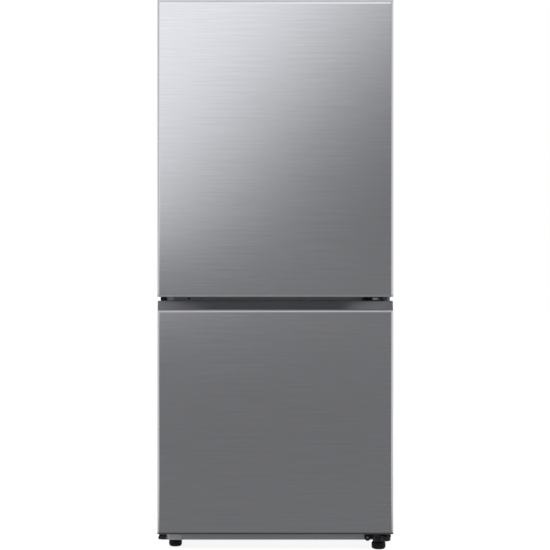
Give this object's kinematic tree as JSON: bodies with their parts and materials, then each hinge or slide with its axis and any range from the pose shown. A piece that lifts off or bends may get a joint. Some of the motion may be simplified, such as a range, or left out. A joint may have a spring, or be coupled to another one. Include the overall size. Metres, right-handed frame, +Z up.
{
  "type": "bottom freezer refrigerator",
  "caption": "Tall two-door refrigerator with a fresh-food room above and a freezer room with drawers below, brushed steel doors and a scooped grip along the lower door.",
  "frame": {"origin": "on the floor, under the middle of the whole product", "axes": "+Z up, the doors face -Y, +X to the viewer's right when facing the doors"},
  "size_m": [0.7, 0.716, 1.649],
  "materials": {
    "door_steel": "stainless steel sheet with fine horizontal brushing",
    "silver_paint": "silver-grey powder paint",
    "galvanised_sheet": "galvanised steel sheet",
    "hinge_steel": "zinc-plated pressed steel",
    "black_steel": "black stoved paint on steel",
    "aluminium": "bare aluminium fins",
    "cap_plastic": "silver-grey moulded plastic",
    "grip_plastic": "dark silver-grey moulded plastic",
    "grey_plastic": "grey moulded plastic",
    "dark_plastic": "dark grey moulded plastic",
    "black_plastic": "black moulded plastic",
    "foot_plastic": "black hard moulded plastic",
    "white_plastic": "white vacuum-formed or moulded plastic",
    "lamp_plastic": "milky lamp lens",
    "clear_plastic": "clear moulded plastic",
    "drawer_plastic": "clear moulded plastic with a frosted panel",
    "shelf_glass": "toughened glass",
    "gasket_rubber": "grey soft magnetic seal",
    "insulation_foam": "rigid insulation foam"
  },
  "bodies": {
    "cabinet": {"outer_wrapper": "silver_paint", "back_panel": "galvanised_sheet", "base_pan": "galvanised_sheet", "front_base_rail": "silver_paint", "foot_bracket_left": "grey_plastic", "centre_rail": "silver_paint", "fresh_food_liner": "white_plastic", "freezer_liner": "white_plastic", "cabinet_foam": "insulation_foam", "bottom_hinge": "black_steel", "middle_hinge": "black_steel", "top_hinge": "hinge_steel", "top_hinge_cover": "grey_plastic", "mid_gap_plug": "black_plastic", "crisper_cover_frame": "white_plastic", "crisper_cover_glass": "shelf_glass", "lower_shelf_frame": "white_plastic", "lower_shelf_glass": "shelf_glass", "upper_shelf_frame": "white_plastic", "upper_shelf_glass": "shelf_glass", "air_duct_cover": "white_plastic", "lamp_lens": "lamp_plastic", "freezer_duct_cover": "white_plastic", "evaporator": "aluminium", "evaporator_fan_motor": "black_plastic", "compressor": "black_steel", "condenser": "black_steel", "drain_tray": "dark_plastic", "condenser_fan_frame": "dark_plastic", "machine_room_cover": "galvanised_sheet", "mains_inlet": "black_plastic"},
    "fridge_door": {"fridge_door_skin": "door_steel", "fridge_door_top_cap": "cap_plastic", "fridge_door_bottom_cap": "cap_plastic", "fridge_door_foam": "insulation_foam", "fridge_door_liner": "white_plastic", "fridge_door_gasket": "gasket_rubber", "door_bin_1": "clear_plastic", "door_bin_2": "clear_plastic", "door_bin_3": "clear_plastic"},
    "freezer_door": {"freezer_door_skin": "door_steel", "freezer_door_grip_cap": "grip_plastic", "freezer_door_bottom_cap": "dark_plastic", "freezer_door_foam": "insulation_foam", "freezer_door_liner": "white_plastic", "freezer_door_gasket": "gasket_rubber", "freezer_door_corner_stop": "black_plastic"},
    "crisper_left_drawer": {"crisper_left": "clear_plastic"},
    "crisper_right_drawer": {"crisper_right": "clear_plastic"},
    "humidity_slider": {"humidity_slider": "grey_plastic"},
    "freezer_drawer_low": {"freezer_drawer_low": "drawer_plastic"},
    "freezer_drawer_middle": {"freezer_drawer_middle": "drawer_plastic"},
    "freezer_drawer_top": {"freezer_drawer_top": "drawer_plastic"},
    "evaporator_fan": {"evaporator_fan": "black_plastic"},
    "condenser_fan": {"condenser_fan": "black_plastic"},
    "rear_roller_left": {"rear_roller_left": "foot_plastic"},
    "rear_roller_right": {"rear_roller_right": "foot_plastic"},
    "foot_left": {"foot_left": "foot_plastic"},
    "foot_right": {"foot_right": "foot_plastic"}
  },
  "joints": [
    {"name": "fridge_door_hinge", "type": "hinge", "parent": "cabinet", "child": "fridge_door", "pos_m": [0.328, -0.33, 0.754], "axis": [0, 0, 1], "range_deg": [0, 130]},
    {"name": "freezer_door_hinge", "type": "hinge", "parent": "cabinet", "child": "freezer_door", "pos_m": [0.328, -0.33, 0.05], "axis": [0, 0, 1], "range_deg": [0, 130]},
    {"name": "crisper_left_slide", "type": "slide", "parent": "cabinet", "child": "crisper_left_drawer", "axis": [0, -1, 0], "range_m": [0, 0.025]},
    {"name": "crisper_right_slide", "type": "slide", "parent": "cabinet", "child": "crisper_right_drawer", "axis": [0, -1, 0], "range_m": [0, 0.025]},
    {"name": "humidity_slide", "type": "slide", "parent": "cabinet", "child": "humidity_slider", "axis": [1, 0, 0], "range_m": [0, 0.04]},
    {"name": "low_drawer_slide", "type": "slide", "parent": "cabinet", "child": "freezer_drawer_low", "axis": [0, -1, 0], "range_m": [0, 0.022]},
    {"name": "middle_drawer_slide", "type": "slide", "parent": "cabinet", "child": "freezer_drawer_middle", "axis": [0, -1, 0], "range_m": [0, 0.022]},
    {"name": "top_drawer_slide", "type": "slide", "parent": "cabinet", "child": "freezer_drawer_top", "axis": [0, -1, 0], "range_m": [0, 0.022]},
    {"name": "evaporator_fan_spin", "type": "hinge", "parent": "cabinet", "child": "evaporator_fan", "pos_m": [0, 0.215, 0.624], "axis": [0, 1, 0], "continuous": true},
    {"name": "condenser_fan_spin", "type": "hinge", "parent": "cabinet", "child": "condenser_fan", "pos_m": [-0.02, 0.245, 0.0975], "axis": [1, 0, 0], "continuous": true},
    {"name": "left_roller_spin", "type": "hinge", "parent": "cabinet", "child": "rear_roller_left", "pos_m": [-0.3, 0.28, 0.011], "axis": [1, 0, 0], "continuous": true},
    {"name": "right_roller_spin", "type": "hinge", "parent": "cabinet", "child": "rear_roller_right", "pos_m": [0.3, 0.28, 0.011], "axis": [1, 0, 0], "continuous": true},
    {"name": "left_foot_turn", "type": "hinge", "parent": "cabinet", "child": "foot_left", "pos_m": [-0.302, -0.253, 0], "axis": [0, 0, 1], "continuous": true},
    {"name": "right_foot_turn", "type": "hinge", "parent": "cabinet", "child": "foot_right", "pos_m": [0.309, -0.3005, 0], "axis": [0, 0, 1], "continuous": true}
  ]
}
